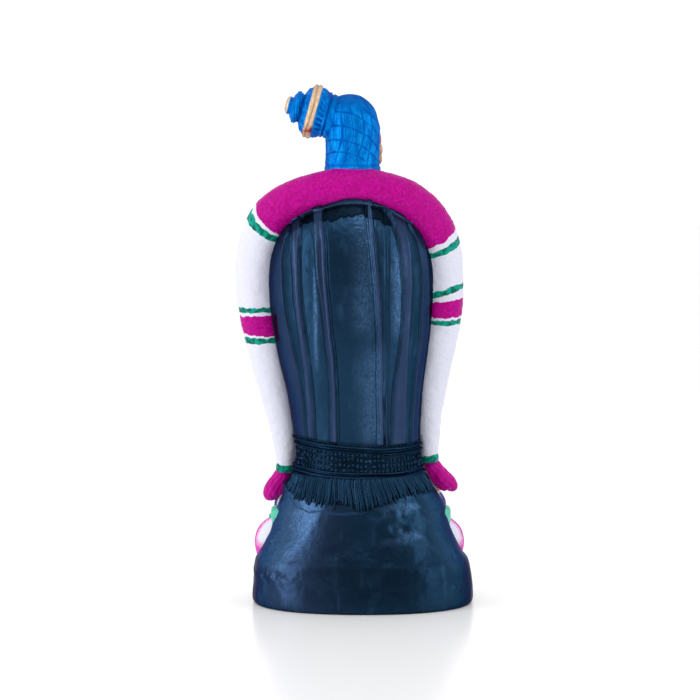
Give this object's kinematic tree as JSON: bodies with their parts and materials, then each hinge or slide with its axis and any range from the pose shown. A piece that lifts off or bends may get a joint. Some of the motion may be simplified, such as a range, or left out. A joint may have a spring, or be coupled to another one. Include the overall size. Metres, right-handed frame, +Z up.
{
  "type": "golu doll",
  "caption": "Painted one-piece festival doll: a standing woman with a side bun, a long flower garland and a pleated cape, on a lotus and an oval base.",
  "frame": {"origin": "centre of the flat underside of the oval base", "axes": "+Z up, the doll faces -Y and its back is towards +Y, +X towards the doll's own left, where the hair bun is"},
  "size_m": [0.1381, 0.1018, 0.2988],
  "materials": {
    "painted_pulp": "moulded paper pulp under glossy hand-brushed enamel: navy back, base and cape, blue hair, magenta, white and green garland, gold ornaments"
  },
  "bodies": {
    "root": {"doll": "painted_pulp"}
  },
  "joints": []
}
